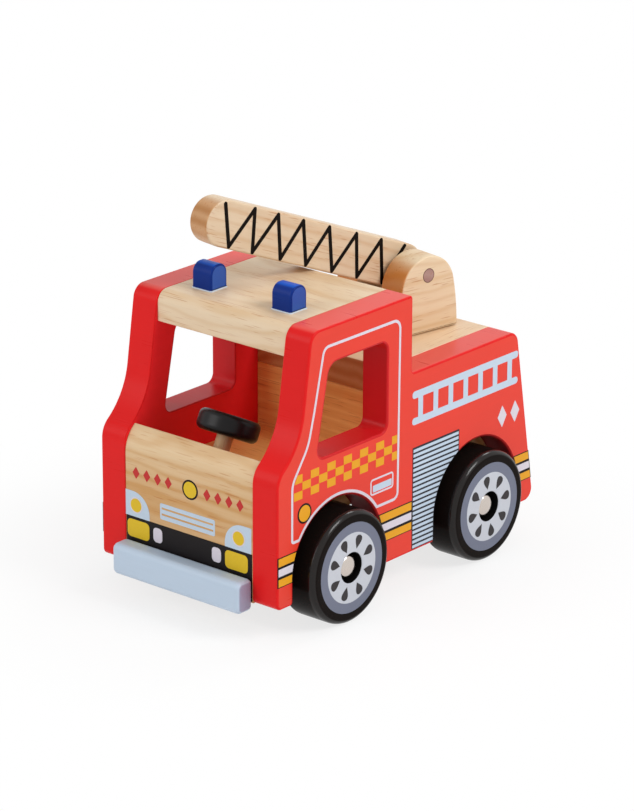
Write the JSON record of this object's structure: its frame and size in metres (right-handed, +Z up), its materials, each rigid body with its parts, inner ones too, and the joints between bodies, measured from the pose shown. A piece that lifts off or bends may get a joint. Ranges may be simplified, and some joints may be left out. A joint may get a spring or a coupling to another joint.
{
  "type": "toy fire engine",
  "caption": "Wooden toy fire engine: board-built open cab and rear deck on free-turning wheels, with a swivelling turret and a raised boom.",
  "frame": {"origin": "on the floor, under the middle of the overall length and width", "axes": "+X towards the vehicle's left, -Y forwards, +Z up"},
  "size_m": [0.1006, 0.161, 0.1519],
  "materials": {
    "red_paint": "satin red lacquer on wood",
    "natural_wood": "clear-lacquered pale wood",
    "blue_paint": "satin blue lacquer on wood",
    "grey_paint": "satin pale blue-grey lacquer on wood",
    "black_gloss": "gloss black",
    "black_lacquer": "satin black lacquer on wood, with printed rim rings",
    "bright_steel": "bright",
    "pin_dowel": "stained dowel, cut flush"
  },
  "bodies": {
    "root": {"side_panel_left": "red_paint", "side_panel_right": "red_paint", "nose_board": "natural_wood", "chassis_board": "natural_wood", "cab_wall": "natural_wood", "deck_board": "natural_wood", "tail_board": "natural_wood", "roof_board": "natural_wood", "bumper": "grey_paint", "beacon_left": "blue_paint", "beacon_right": "blue_paint", "steering_column": "natural_wood", "steering_wheel": "black_gloss", "axle_block_front": "natural_wood", "axle_block_rear": "natural_wood", "axle_front": "bright_steel", "axle_rear": "bright_steel", "axle_cap_front_left": "bright_steel", "axle_cap_front_right": "bright_steel", "axle_cap_rear_left": "bright_steel", "axle_cap_rear_right": "bright_steel"},
    "wheel_front_left": {"wheel_front_left": "black_lacquer"},
    "wheel_front_right": {"wheel_front_right": "black_lacquer"},
    "wheel_rear_left": {"wheel_rear_left": "black_lacquer"},
    "wheel_rear_right": {"wheel_rear_right": "black_lacquer"},
    "turret": {"turret_base": "natural_wood", "turret_ear_left": "natural_wood", "turret_ear_right": "natural_wood", "turret_pivot": "natural_wood", "boom_pin": "pin_dowel"},
    "boom": {"boom": "natural_wood"}
  },
  "joints": [
    {"name": "wheel_front_left_spin", "type": "hinge", "parent": "root", "child": "wheel_front_left", "pos_m": [0.0423, -0.03808, 0.022], "axis": [1, 0, 0], "continuous": true},
    {"name": "wheel_front_right_spin", "type": "hinge", "parent": "root", "child": "wheel_front_right", "pos_m": [-0.0423, -0.03808, 0.022], "axis": [1, 0, 0], "continuous": true},
    {"name": "wheel_rear_left_spin", "type": "hinge", "parent": "root", "child": "wheel_rear_left", "pos_m": [0.0423, 0.04432, 0.022], "axis": [1, 0, 0], "continuous": true},
    {"name": "wheel_rear_right_spin", "type": "hinge", "parent": "root", "child": "wheel_rear_right", "pos_m": [-0.0423, 0.04432, 0.022], "axis": [1, 0, 0], "continuous": true},
    {"name": "turret_swivel", "type": "hinge", "parent": "root", "child": "turret", "pos_m": [0, 0.04782, 0.0855], "axis": [0, 0, 1], "continuous": true},
    {"name": "boom_raise", "type": "hinge", "parent": "turret", "child": "boom", "pos_m": [0, 0.04782, 0.1086], "axis": [-0.9854, 0.1702, 0], "range_deg": [0, 135]}
  ]
}
